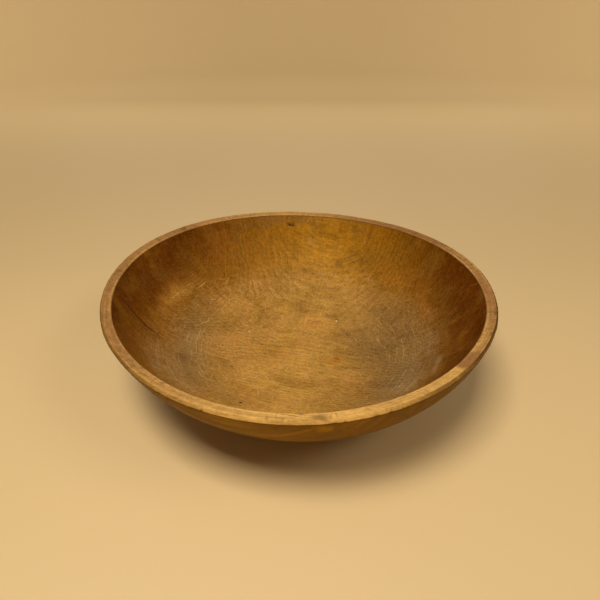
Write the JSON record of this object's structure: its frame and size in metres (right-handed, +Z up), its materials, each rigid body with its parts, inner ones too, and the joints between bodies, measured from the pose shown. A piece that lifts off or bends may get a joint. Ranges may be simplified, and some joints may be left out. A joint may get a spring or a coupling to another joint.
{
  "type": "wooden bowl",
  "caption": "Large round shallow wooden bowl with a flat inward-sloping rim face, a narrow band around the rim, slightly warped and standing on a flat foot.",
  "frame": {"origin": "middle of the rim's outline at the level of the flat foot, so the bowl stands on z = 0", "axes": "+Z up through the open mouth; +X within 14 degrees of the grain, along the bowl's longer diameter"},
  "size_m": [0.5208, 0.504, 0.1548],
  "materials": {
    "bowl_wood": "old oiled hardwood, golden to dark amber, satin on the floor and dusty and scratched where it is worn"
  },
  "bodies": {
    "root": {"bowl": "bowl_wood"}
  },
  "joints": []
}
